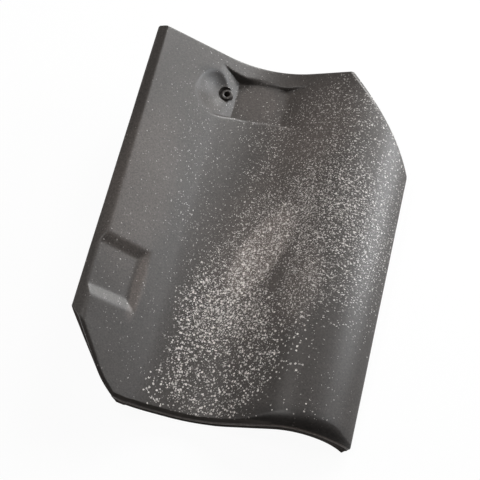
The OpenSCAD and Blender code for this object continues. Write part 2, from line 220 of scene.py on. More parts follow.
class RoofTileFinish(bpy.types.PropertyGroup):
    """Colours of the tile's finish and of the studio."""

    engobe: colour("Engobe", "Anthracite slip on the clay", "474340")
    engobe_dark: colour("Engobe, dark", "Slip where it lies thin", "3b3735")
    # Painted shade: the darkest mix, in the dish, on the nose and on faces turned to the tail or down
    painted_shade: colour("Engobe, darkest", "Slip that has gathered in the dish and on the nose", "1d1a19")
    bare: colour("Bare clay", "Dark clay where the slip does not reach", "454240")
    bare_pale: colour("Bare clay, pale", "Bare clay where the kiln has bleached it", "5a5552")
    # Pale film on the fan of flecks; on the mould seam it is a painted highlight, on the recess floor painted
    # light
    pale_film_and_highlight: colour("Bloom", "Pale film of salts and rubbed lime on the slip", "8c807a")
    fleck: colour("Flecks", "Pale lime and salt flecks on the slip", "efe9e4")
    floor: colour("Floor", "Studio floor", "f4f4f4")


def soft_max(a, b, reach):
    """The larger of two heights, rounded where they meet within a reach."""
    gap = np.clip(0.5 + 0.5 * (a - b) / reach, 0, 1)
    return b + (a - b) * gap + reach * gap * (1 - gap)


def soft_min(a, b, reach):
    """The smaller of two heights, rounded where they meet within a reach."""
    return -soft_max(-a, -b, reach)


def soft_ramp(t, soft=0.015):
    """A rise from 0 that starts softly at t = 0 and then follows t."""
    return 0.5 * (t + np.sqrt(t ** 2 + soft))


def ease(t):
    """Smooth step from 0 to 1."""
    t = np.clip(t, 0, 1)
    return t * t * (3 - 2 * t)


def hump(x, start, rise, end, fall):
    """A smooth hump, which rises from start over one width and falls from end over another."""
    return ease((x - start) / rise) * (1 - ease((x - end) / fall))


def quarter_round(away, radius):
    """How deep a quarter round lies at a distance from its edge."""
    near = np.clip(away, 0, radius)
    return radius - np.sqrt(np.maximum(0, radius ** 2 - (radius - near) ** 2))


def spaced(*stretches):
    """Places from stretches of (start, end, spacing), each without its end."""
    return np.concatenate([
        np.linspace(start, end, max(1, round((end - start) / spacing)), endpoint=False)
        for start, end, spacing in stretches if end > start
    ])


class TileForm:
    """Shape of the pressed tile, in metres from the pan's lowest line and the tail."""

    # Softness of the pressed edges, as multiples of the tile's own
    BEVEL_SOFT = 0.1
    POCKET_SOFT = 0.5
    RECESS_RIGHT_SOFT = 1.6
    RECESS_FOOT_SOFT = 0.4
    RECESS_RIM_SOFT = 2
    DISH_SOFT = 0.9
    DISH_LEFT_SOFT = 1.9
    # What the soft foot lifts the recess floor, in the same measure
    RECESS_LIFT = 0.25
    # Softness of the pocket's inner edges, as a share of its depth
    POCKET_FOOT_SOFT = 0.15
    # How tightly the bevels run into the nose and the roll's edge, as a power
    MEET = 4
    # Where the recess's head wall slants more, across the pan: start and rise, end and fall
    RECESS_EASE_AT = -28 * MM, 16 * MM, 2 * MM, 10 * MM
    # Where the dish's brim grows softer: share of its radius to the left, and start and width tailwards
    DISH_LEFT = 0.3
    DISH_TAIL = 4 * MM, 14 * MM

    def __init__(self, z):
        self.z = z
        rise = (z.pan_r + z.roll_r) * (1 - math.cos(z.ramp_slope)) + z.ramp_len * math.sin(z.ramp_slope)
        inner_r = z.roll_r - z.sheet_t
        arris = math.acos(1 - rise / inner_r)
        lift = z.under_r * (math.sin(arris) + math.cos(arris) - 1)
        edge_slope = arris + lift / (inner_r * math.sin(arris))
        self.pan_low = z.flank_len + z.pan_r * z.flank_slope
        self.ramp_start = self.pan_low + z.pan_r * z.ramp_slope
        self.roll_start = self.ramp_start + z.ramp_len
        self.roll_top = self.roll_start + z.roll_r * z.ramp_slope
        self.section_len = self.roll_top + z.roll_r * edge_slope
        self.ramp_x = z.pan_r * math.sin(z.ramp_slope)
        self.ramp_z = z.pan_r * (1 - math.cos(z.ramp_slope))
        self.roll_x = self.ramp_x + z.ramp_len * math.cos(z.ramp_slope)
        self.roll_z = self.ramp_z + z.ramp_len * math.sin(z.ramp_slope)
        self.body_start = max(z.nose_roll_len, z.tail_corner_len) + 4 * MM
        self.nib_y = z.tile_length - z.nib_head - z.nib_len
        self.tilt = math.atan(z.nib_h / (self.nib_y - z.under_r))
        self.nail = Vector((-z.nail_left, z.tile_length - z.nail_head))
        dish_s = z.flank_len - (z.dish_left - z.pan_r * math.sin(z.flank_slope)) / math.cos(z.flank_slope)
        dish_y = z.tile_length - z.dish_head
        self.ball = self.sheet_point(np.array([dish_s]), dish_y, z.dish_depth - z.dish_r)[0]
        flat = (self.nail - Vector(self.ball[:2])).length
        ball_seat = self.ball[2] - math.sqrt(z.dish_r ** 2 - flat ** 2)
        wall_seat = (z.nail_left - z.recess_left) / math.tan(z.recess_left_draft) - z.recess_depth
        self.groove_z = min(ball_seat, wall_seat) - z.groove_depth

    def sheet_point(self, s, y, depth):
        """Points of the sheet at places along the section, and depths under its upper face."""
        z = self.z
        fs, rs = z.flank_slope, z.ramp_slope
        parts = [s < z.flank_len, s < self.ramp_start, s < self.roll_start]
        a = np.select(parts, [-fs, (s - self.pan_low) / z.pan_r, rs], rs - (s - self.roll_start) / z.roll_r)
        left = z.flank_len - s
        ramp = s - self.ramp_start
        px = np.select(
            parts,
            [-z.pan_r * math.sin(fs) - left * math.cos(fs), z.pan_r * np.sin(a),
             self.ramp_x + ramp * math.cos(rs)],
            self.roll_x + z.roll_r * (math.sin(rs) - np.sin(a)))
        pz = np.select(
            parts,
            [z.pan_r * (1 - math.cos(fs)) + left * math.sin(fs), z.pan_r * (1 - np.cos(a)),
             self.ramp_z + ramp * math.sin(rs)],
            self.roll_z + z.roll_r * (np.cos(a) - math.cos(rs)))
        return np.stack([px + depth * np.sin(a), y + 0 * s, pz - depth * np.cos(a)], -1)

    def left_end(self, y, upper):
        """Left end of the section, with the cut corner at the tail."""
        z = self.z
        cut = np.where(upper, z.tail_cut_w, z.tail_cut_w + z.cut_lean)
        return (cut * np.maximum(0, 1 - y / z.tail_cut_len)
                + z.tail_corner_w * np.maximum(0, 1 - y / z.tail_corner_len) ** 2)

    def right_end(self, y):
        """Right end of the section, with the cut corner at the head."""
        z = self.z
        short = np.maximum(0, z.corner_r - y)
        return (self.section_len - z.head_cut_w * np.maximum(0, 1 - (z.tile_length - y) / z.head_cut_len)
                - (z.corner_r - np.sqrt(z.corner_r ** 2 - np.minimum(short, z.corner_r) ** 2)))

    def columns(self):
        """Places across the section, closer together where the tile has detail."""
        z = self.z
        # Finer stretches reach a little past the lip, the pocket, the nib and the ramp's foot
        lip_edge, lip, ramp = 3 * MM, 14 * MM, self.ramp_start + 12 * MM
        pocket = z.pocket_w - 6 * MM, z.pocket_w + z.pocket_side_run + 6 * MM
        nib = [self.pan_low + z.pan_r * math.asin((z.nib_mid + k * z.nib_w / 2) / (z.pan_r + z.sheet_t))
               for k in (-1, 1)]
        edge = [z.roll_edge_r * (1 - math.sin(math.radians(a))) for a in range(0, 91, 10)]
        places = spaced(
            (0, lip_edge, 0.5 * MM), (lip_edge, lip, 0.9 * MM), (lip, pocket[0], 2.2 * MM),
            (pocket[0], pocket[1], 1.2 * MM), (pocket[1], nib[0], 1.3 * MM), (nib[0], nib[1], 1.7 * MM),
            (nib[1], ramp, 1.6 * MM), (ramp, self.section_len - z.roll_edge_r, 2.4 * MM))
        # One column lies on the recess's left foot, so that its edge is clean
        foot = self.pan_low - z.pan_r * math.asin(z.recess_left / z.pan_r)
        places[np.argmin(np.abs(places - foot))] = foot
        self.nib_columns = [int(np.argmin(np.abs(places - n))) for n in nib]
        return np.concatenate([places, [self.section_len - e for e in edge]])

    def rows(self):
        """Rows from tail to head: their kinds, and how far along each kind they lie."""
        z = self.z
        # Finer stretches reach a little past the pocket's walls, the recess's and the nib
        pocket = (z.pocket_y - z.pocket_tail_run - 4 * MM, z.pocket_y + 2 * MM,
                  z.pocket_y + z.pocket_len - 2 * MM, z.pocket_y + z.pocket_len + z.pocket_head_run + 6 * MM)
        foot = self.nib_y - z.nib_draft, self.nib_y + z.nib_len + z.nib_draft
        recess = (z.tile_length - z.recess_head - z.recess_len - 16 * MM,
                  z.tile_length - z.recess_head - z.recess_len + 4 * MM)
        wall = z.tile_length - 12 * MM
        head = z.tile_length - z.head_edge_r
        body = spaced(
            (self.body_start, pocket[0], 2.6 * MM), (pocket[0], pocket[1], 1.2 * MM),
            (pocket[1], pocket[2], 2.6 * MM), (pocket[2], pocket[3], 1.2 * MM),
            (pocket[3], recess[0], 2.7 * MM), (recess[0], recess[1], 1.3 * MM),
            (recess[1], foot[0], 1.5 * MM), (foot[0], foot[1], 1.2 * MM),
            (foot[1], wall, 0.9 * MM), (wall, head, 1.4 * MM))
        kinds = [(NOSE, k) for k in np.linspace(1, 0, 16)]
        kinds += [(JOIN, k) for k in np.linspace(0, 1, 8)[1:-1]]
        first = len(kinds)
        self.nib_rows = [first + int(np.argmin(np.abs(body - f))) for f in foot]
        kinds += [(BODY, y) for y in body]
        kinds += [(HEAD, k) for k in np.linspace(0, 1, 7)]
        return np.array(kinds)

    def place(self, column, row, upper):
        """Points of the upper or lower face for columns and rows."""
        z = self.z
        kind, value = row[:, 0], row[:, 1]
        share = ease((column - self.roll_top - z.nose_past + z.nose_grow) / z.nose_grow)
        fade = z.nose_edge + (1 - z.nose_edge) * ease((self.section_len - column) / z.nose_fade)
        nose_len = (z.nose_pan_len + (z.nose_roll_len - z.nose_pan_len) * share) * fade
        nose_back = z.nose_pan_back + (z.nose_roll_back - z.nose_pan_back) * share
        nose_drop = (z.nose_pan_drop + (z.nose_roll_drop - z.nose_pan_drop) * share) * fade
        head_r = z.head_edge_r if upper else z.under_r
        turn = value * math.pi / 2
        if upper:
            tail_y = nose_len - (nose_len - nose_back) * value
            tail_sink = nose_drop * value ** z.nose_turn
        else:
            nose_len = z.under_r
            tail_y = z.under_r * (1 - np.sin(turn))
            tail_sink = z.under_r * (1 - np.cos(turn))
        y = np.select(
            [kind == NOSE, kind == JOIN, kind == BODY],
            [tail_y, nose_len + (self.body_start - nose_len) * value, value],
            z.tile_length - z.head_edge_r * (1 - np.sin(turn)))
        swell = z.tail_swell * (1 - ease((column - z.tail_cut_w - z.tail_corner_w) / z.tail_swell_w))
        y = y - np.where(kind < BODY, swell * (1 - ease(y / self.body_start)), 0)
        sink = np.select([kind == NOSE, kind == HEAD], [tail_sink, head_r * (1 - np.cos(turn))], 0 * y)
        left = self.left_end(y, upper)
        if upper:
            right = self.right_end(np.where(kind == NOSE, y - nose_back * value, y))
        else:
            right = self.right_end(y + z.corner_r)
        left_zone, right_zone = z.tail_cut_w + CUT_EASE, z.head_cut_w + CUT_EASE
        right_start = self.section_len - right_zone
        s = np.select(
            [column < left_zone, column > right_start],
            [left + (left_zone - left) * column / left_zone,
             right - (right - right_start) * (self.section_len - column) / right_zone],
            column)
        from_left, from_right = s - left, right - s
        if not upper:
            edge = quarter_round(np.minimum(from_left, from_right), z.under_r)
            return self.sheet_point(s, y, z.sheet_t - np.maximum(edge, sink))
        headward = np.maximum(0, (y - z.tail_cut_len) / (z.tile_length - z.tail_cut_len))
        lip_w = z.lip_tail_w + (z.lip_head_w - z.lip_tail_w) * headward
        lip_h = z.lip_tail_h + (z.lip_head_h - z.lip_tail_h) * headward
        lip = soft_ramp(1 - s / lip_w) * lip_h
        cut = soft_ramp(1 - from_left / z.cut_edge_r) * z.cut_edge_r
        deep = soft_max(lip, cut, self.BEVEL_SOFT * z.soften)
        deep = np.maximum(soft_max(deep, self.pocket(s, y), self.POCKET_SOFT * z.soften), 0)
        edge = quarter_round(from_right, z.roll_edge_r)
        deep = (deep ** self.MEET + sink ** self.MEET + edge ** self.MEET) ** (1 / self.MEET)
        point = self.sheet_point(s, y, np.minimum(deep, z.sheet_t - 2 * z.under_r))
        point[:, 2] = self.pressed(point[:, 0], point[:, 1], point[:, 2])
        return point

    def pocket(self, s, y):
        """Depth of the pocket in the flank."""
        z = self.z
        skew = z.pocket_skew * (1 - s / z.pocket_w)
        share = (y - z.pocket_y + z.pocket_tail_run) / z.pocket_tail_run
        head_wall = (z.pocket_y + z.pocket_len + z.pocket_head_run + skew - y) / z.pocket_head_run
        side_wall = (z.pocket_w + z.pocket_side_run - s) / z.pocket_side_run
        for bound in (head_wall, side_wall, np.ones_like(s)):
            share = soft_min(share, bound, self.POCKET_FOOT_SOFT)
        return z.pocket_depth * share

    def pressed(self, x, y, height):
        """Height of the upper face where the recess and the dish are pressed into it."""
        z = self.z
        low = z.tile_length - z.recess_head - z.recess_len
        high = z.tile_length - z.recess_head
        head_wall = (y - high) / np.tan(z.recess_head_draft + z.recess_ease * hump(x, *self.RECESS_EASE_AT))
        tail_wall = (low - y) / math.tan(z.recess_tail_draft)
        right_wall = (x - z.recess_right) / math.tan(z.recess_right_draft)
        left_wall = (-z.recess_left - x) / math.tan(z.recess_left_draft)
        ends = soft_max(soft_max(head_wall, tail_wall, z.soften), 0 * x, self.RECESS_FOOT_SOFT * z.soften)
        right = soft_max(right_wall, 0 * x, self.RECESS_RIGHT_SOFT * z.soften)
        walls = soft_max(ends, right, z.soften) - self.RECESS_LIFT * z.soften
        recess = np.maximum(walls, np.maximum(0, left_wall)) - z.recess_depth
        rightward = ease((x - 0.5 * z.recess_right) / z.recess_right)
        rim = z.soften * (1 + self.RECESS_RIM_SOFT * rightward)
        flat = z.dish_r ** 2 - (x - self.ball[0]) ** 2 - (y - self.ball[1]) ** 2
        dish = np.where(flat > 0, self.ball[2] - np.sqrt(np.maximum(flat, 0)), 1.0)
        leftward = ease((self.ball[0] - x) / (self.DISH_LEFT * z.dish_r))
        tailward = ease((self.ball[1] + self.DISH_TAIL[0] - y) / self.DISH_TAIL[1])
        brim = z.soften * (self.DISH_SOFT + self.DISH_LEFT_SOFT * leftward * tailward)
        return soft_min(soft_min(height, recess, rim), dish, brim)

    def top_at(self, x, y):
        """Height of the upper face in the flank and pan, over a place in plan."""
        z = self.z
        on_flank = x < -z.pan_r * math.sin(z.flank_slope)
        arc = z.pan_r - np.sqrt(z.pan_r ** 2 - np.clip(x, -z.pan_r, z.pan_r) ** 2)
        line = z.pan_r * (1 - math.cos(z.flank_slope)) - math.tan(z.flank_slope) * (
            x + z.pan_r * math.sin(z.flank_slope))
        return self.pressed(x, y, np.where(on_flank, line, arc))

    def under_at(self, x):
        """Height of the lower face in the flank and pan, over a place in plan."""
        z = self.z
        outer = z.pan_r + z.sheet_t
        on_flank = x < -outer * math.sin(z.flank_slope)
        arc = z.pan_r - np.sqrt(outer ** 2 - np.clip(x, -outer, outer) ** 2)
        line = z.pan_r - outer * math.cos(z.flank_slope) - math.tan(z.flank_slope) * (
            x + outer * math.sin(z.flank_slope))
        return np.where(on_flank, line, arc)

    def floor_z(self, y):
        """Height of the floor under the tile as it lies."""
        return -self.z.sheet_t - (y - self.z.under_r) * math.tan(self.tilt)

    def laid(self):
        """Matrix that lays the tile on its nib and tail, with its middle over the origin."""
        turn = Matrix.Rotation(self.tilt, 4, 'X')
        foot = turn @ Vector((0, self.z.under_r, -self.z.sheet_t))
        return Matrix.Translation((-self.z.middle_x, -self.z.middle_y, -foot.z)) @ turn


def lain(patches, x, y):
    """Share at a place, summed over soft oval patches."""
    share = 0.0
    for px, py, half_x, half_y, turn, weight, soft in patches:
        away = Vector((x / MM - px, y / MM - py))
        away.rotate(Matrix.Rotation(math.radians(-turn), 2))
        share += weight * float(ease((1 + soft / 2 - math.hypot(away.x / half_x, away.y / half_y)) / soft))
    return min(max(share, 0.0), 1.0)


def put(verts, points):
    """Moves vertices to points."""
    for vert, point in zip(verts, points):
        vert.co = point


def made(geom, kind):
    """What a bmesh operator made of one kind."""
    return [g for g in geom if isinstance(g, kind)]


def border(faces):
    """Edges round the outside of some faces."""
    inside = set(faces)
    return [e for e in {e for f in faces for e in f.edges} if sum(f in inside for f in e.link_faces) == 1]


def is_seam(vert, layer):
    """Whether a vertex carries the painted highlight of the mould seam."""
    return math.isclose(vert[layer].w, SEAM_PAINTED_HIGHLIGHT, abs_tol=1e-4)


def new_object(scene, name, bm):
    """A mesh object at the origin from a bmesh, put into the scene."""
    mesh = bpy.data.meshes.new(name)
    bm.to_mesh(mesh)
    bm.free()
    thing = bpy.data.objects.new(name, mesh)
    scene.collection.objects.link(thing)
    return thing


def open_patch(bm, faces, form, radius, height):
    """Takes a square of faces out, closes it to a ring round the nail hole and returns the ring's edges."""
    rim = border(faces)
    bmesh.ops.delete(bm, geom=faces, context='FACES')
    circle = bmesh.ops.create_circle(bm, cap_ends=False, radius=radius, segments=len(rim),
                                     matrix=Matrix.Translation((form.nail.x, form.nail.y, 0)))["verts"]
    for vert in circle:
        vert.co.z = height(vert.co.x, vert.co.y)
    ring = list({e for v in circle for e in v.link_edges})
    spokes = bmesh.ops.bridge_loops(bm, edges=rim + ring)["edges"]
    spokes = [e for e in spokes if e not in rim and e not in ring]
    cut = bmesh.ops.subdivide_edges(bm, edges=spokes, cuts=4)["geom_inner"]
    for vert in made(cut, bmesh.types.BMVert):
        vert.co.z = height(vert.co.x, vert.co.y)
    return ring


def draw_in(bm, ring, form, steps):
    """Extrudes a ring through steps of radius and height round the nail hole and returns the last ring."""
    for radius, height in steps:
        ring = made(bmesh.ops.extrude_edge_only(bm, edges=ring)["geom"], bmesh.types.BMEdge)
        for vert in {v for e in ring for v in e.verts}:
            out = (vert.co.xy - form.nail).normalized() * radius
            vert.co = (form.nail.x + out.x, form.nail.y + out.y, 0)
            vert.co.z = height(vert.co.x, vert.co.y)
    return ring


class ROOFTILE_OT_tile(bpy.types.Operator):
    """Builds the fired clay tile in place of its plain solid"""

    bl_idname = "rooftile.tile"
    bl_label = "Clay tile"

    # Edges that turn more than this stay sharp
    SHARP = math.radians(38)
    # How far a normal leans to the tail on the edges that get painted shade and no flecks, and on the nose's
    # bare clay
    STEEP = -0.8
    NOSE_BARE = -0.7

    def execute(self, context):
        sizes, finish = context.scene.roof_tile_sizes, context.scene.roof_tile_finish
        form = TileForm(sizes)
        bm = bmesh.new()
        self.slab(bm, form, form.columns(), form.rows())
        bmesh.ops.transform(bm, matrix=form.laid(), verts=bm.verts)
        self.waves_flecks_and_shade(bm, sizes)
        bmesh.ops.recalc_face_normals(bm, faces=bm.faces)
        for face in bm.faces:
            face.smooth = True
        for edge in bm.edges:
            edge.smooth = edge.calc_face_angle(0) < self.SHARP
        tile = new_object(context.scene, "clay_tile", bm)
        tile.data.materials.append(engobed_clay(finish))
        tile.data.materials.append(bare_clay(finish))
        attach(tile, "root")
        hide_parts(NODE)
        return {'FINISHED'}

    def slab(self, bm, form, columns, rows):
        """A grid made into a slab, whose faces are then moved to the tile's shape."""
        z = form.z
        across, along = len(columns) - 1, len(rows) - 1
        layer = bm.verts.layers.float_color.new(FLECKS_AND_SHADE_LAYER)
        bmesh.ops.create_grid(bm, x_segments=across, y_segments=along, size=0.5)
        upper = bmesh.ops.extrude_face_region(bm, geom=bm.faces[:], use_keep_orig=True)["geom"]
        bmesh.ops.translate(bm, vec=(0, 0, 1), verts=made(upper, bmesh.types.BMVert))
        upright = [e for e in bm.edges if abs(e.verts[0].co.z - e.verts[1].co.z) > 0.5]
        rings = len(WALL_LEVELS) - 1
        bmesh.ops.subdivide_edges(bm, edges=upright, cuts=rings - 1)
        bm.verts.ensure_lookup_table()
        spot = np.array([v.co for v in bm.verts])
        col = np.rint((spot[:, 0] + 0.5) * across).astype(int)
        row = np.rint((spot[:, 1] + 0.5) * along).astype(int)
        up = np.rint(spot[:, 2] * rings).astype(int)
        high = form.place(columns[col], rows[row], True)
        low = form.place(columns[col], rows[row], False)
        points = low + (high - low) * WALL_LEVELS[up][:, None]
        seam = z.seam_h * SEAM_BEAD[up] * ease(columns[col] / z.tail_cut_w)
        points[:, 1] -= np.where(row == 0, seam, 0)
        # The seam's upper rings carry a painted highlight
        for vert, r, u in zip(bm.verts, row, up):
            if r == 0 and u > SLIP_RING:
                vert[layer] = (0, 0, 0, SEAM_PAINTED_HIGHLIGHT)

        # The grid's part round the nail hole; rows that aren't in the body lie before or after it
        nail_s = form.pan_low + z.pan_r * math.asin(-z.nail_left / z.pan_r)
        cols = np.searchsorted(columns, [nail_s - NAIL_PATCH, nail_s + NAIL_PATCH])
        row_y = np.select([rows[:, 0] == BODY, rows[:, 0] == HEAD], [rows[:, 1], z.tile_length], 0)
        lines = np.searchsorted(row_y, [form.nail.y - NAIL_PATCH, form.nail.y + NAIL_PATCH])

        def faces_in(level, c, r):
            """Faces of the upper (1) or lower (0) side between columns c and rows r."""
            found = []
            for f in bm.faces:
                mid = f.calc_center_median()
                if abs(mid.z - level) < 0.01:
                    i, j = (mid.x + 0.5) * across, (mid.y + 0.5) * along
                    if c[0] < i < c[1] and r[0] < j < r[1]:
                        found.append(f)
            return found

        for face in bm.faces:
            face.material_index = int(face.calc_center_median().z < SLIP_RING / rings)
        nail_top = faces_in(1, cols, lines)
        nail_under = faces_in(0, cols, lines)
        foot = faces_in(0, form.nib_columns, form.nib_rows)
        put(bm.verts, points)
        self.nail_hole(bm, form, nail_top, nail_under)
        self.nib(bm, form, foot)

    def nail_hole(self, bm, form, nail_top, nail_under):
        """The collar, its groove and the bore; lifts are heights over the groove's floor."""
        z = form.z
        base = form.groove_z
        groove_soft = 0.5 * MM

        def surface(x, y):
            return float(form.top_at(np.array([x]), np.array([y]))[0])

        def under(x, y):
            return float(form.under_at(np.array([x]))[0])

        def floor(lift):
            return lambda x, y: float(soft_min(surface(x, y), base + lift, groove_soft))

        def level(lift):
            return lambda x, y: base + lift

        collar_r, bore_r, top = z.collar_d / 2, z.nail_d / 2, z.collar_h
        groove_r = collar_r + z.groove_w
        ring = open_patch(bm, nail_top, form, groove_r + 1.0 * MM, surface)
        into_groove = [
            (groove_r + 0.3 * MM, surface), (groove_r - 0.1 * MM, floor(0.9 * MM)),
            (groove_r - 0.5 * MM, floor(0.1 * MM)), (collar_r + 0.5 * MM, floor(0))]
        up_collar = [
            (collar_r + 0.1 * MM, floor(0.5 * MM)), (collar_r, level(top - 1.0 * MM)),
            (collar_r - 0.3 * MM, level(top - 0.3 * MM)), (collar_r - 0.9 * MM, level(top))]
        into_bore = [
            (bore_r + 0.6 * MM, level(top)), (bore_r + 0.15 * MM, level(top - 0.25 * MM)),
            (bore_r, level(top - 0.7 * MM))]
        ring = draw_in(bm, ring, form, into_groove + up_collar + into_bore)
        below = open_patch(bm, nail_under, form, bore_r, under)
        for face in bmesh.ops.bridge_loops(bm, edges=ring + below)["faces"]:
            face.material_index = 1

    def nib(self, bm, form, foot):
        """The hanging nib, drawn down from the underside to the floor."""
        z = form.z
        drawn = bmesh.ops.extrude_face_region(bm, geom=foot)["geom"]
        verts = made(drawn, bmesh.types.BMVert)
        bmesh.ops.delete(bm, geom=[f for f in foot if f.is_valid], context='FACES')
        middle = form.nib_y + z.nib_len / 2
        reach = max(abs(v.co.y - middle) for v in verts)
        for vert in verts:
            vert.co.y = middle + (vert.co.y - middle) * z.nib_len / 2 / reach
            vert.co.z = form.floor_z(vert.co.y)
        bmesh.ops.bevel(bm, geom=border(made(drawn, bmesh.types.BMFace)), offset=z.nib_edge,
                        offset_type='OFFSET', segments=3, profile=0.5, affect='EDGES', material=-1,
                        clamp_overlap=True)
        for vert in bm.verts:
            vert.co.z = max(vert.co.z, form.floor_z(vert.co.y))

    def waves_flecks_and_shade(self, bm, sizes):
        """Slow waves of the fired sheet, how thickly the flecks lie at each place, and its tone, with painted
        shade on faces turned to the tail or down.
        """
        layer = bm.verts.layers.float_color[FLECKS_AND_SHADE_LAYER]
        fields = FINE_FLECKS, ROUND_FLECKS, STREAK_FLECKS, TONE_AND_PAINTED_SHADE
        bm.normal_update()
        for vert in bm.verts:
            x, y, z = vert.co
            wave = noise.noise(Vector((x, y, z)) / WAVE_LONG)
            wave += 0.5 * noise.noise(Vector((x, y, z + 1)) / WAVE_SHORT)
            if z > FEET:
                vert.co += vert.normal * wave * sizes.unevenness
            if is_seam(vert, layer):
                continue
            # Faces turned to the tail or down get painted shade and no flecks
            if vert.normal.y < self.STEEP or vert.normal.z <= 0:
                vert[layer] = (0, 0, 0, EDGE_PAINTED_SHADE)
            else:
                vert[layer] = [lain(field, x, y) for field in fields]
        nose = min(v.co.y for v in bm.verts) + sizes.nose_roll_len
        for face in bm.faces:
            if face.normal.y < self.NOSE_BARE and face.calc_center_median().y < nose:
                if not any(is_seam(v, layer) for v in face.verts):
                    face.material_index = 1


def add(tree, kind, settings=None, **links):
    """Adds a node with its settings; each link is a socket or a value for an input.

    An input goes by its name, or by i and its number where nodes have several of one name.
    """
    node = tree.nodes.new(kind)
    for key, value in (settings or {}).items():
        setattr(node, key, value)
    for key, value in links.items():
        name = int(key[1:]) if key[0] == "i" and key[1:].isdigit() else key.replace("_", " ")
        if isinstance(value, bpy.types.NodeSocket):
            tree.links.new(value, node.inputs[name])
        else:
            node.inputs[name].default_value = value
    return node


def new_material(name):
    """A material with its node tree and its shader."""
    material = bpy.data.materials.new(name)
    material.use_nodes = True
    return material, material.node_tree, material.node_tree.nodes["Principled BSDF"]


def flecks(tree, coords, share, cell, reach, thin, thick, sparse, stretch=1):
    """Cover of flecks in cells of a size in mm, with a largest radius in mm, from thin to thick.

    Share is how many cells carry one, and sparse is what is left of the cover where few do. Stretch
    draws them out across the tile.
    """
    smallest = 0.3 * reach
    scale = [1 / (cell * MM * k) for k in (stretch, 1, 1)]
    place = add(tree, 'ShaderNodeMapping', Vector=coords, Scale=scale)
    dots = add(tree, 'ShaderNodeTexVoronoi', Vector=place.outputs[0], Scale=1.0)
    lot = add(tree, 'ShaderNodeSeparateColor', Color=dots.outputs["Color"])
    drawn = add(tree, 'ShaderNodeMath', {"operation": 'LESS_THAN'}, i0=lot.outputs[0], i1=share)
    radius = add(tree, 'ShaderNodeMapRange', Value=lot.outputs[1],
                 To_Min=smallest / cell, To_Max=reach / cell)
    inside = add(tree, 'ShaderNodeMath', {"operation": 'LESS_THAN'},
                 i0=dots.outputs["Distance"], i1=radius.outputs[0])
    cover = add(tree, 'ShaderNodeMapRange', Value=lot.outputs[2], To_Min=thin, To_Max=thick)
    fading = add(tree, 'ShaderNodeMapRange', Value=share, From_Max=0.5, To_Min=sparse, To_Max=1.0)
    total = drawn.outputs[0]
    for part in (inside, cover, fading):
        total = add(tree, 'ShaderNodeMath', {"operation": 'MULTIPLY'},
                    i0=total, i1=part.outputs[0]).outputs[0]
    return total


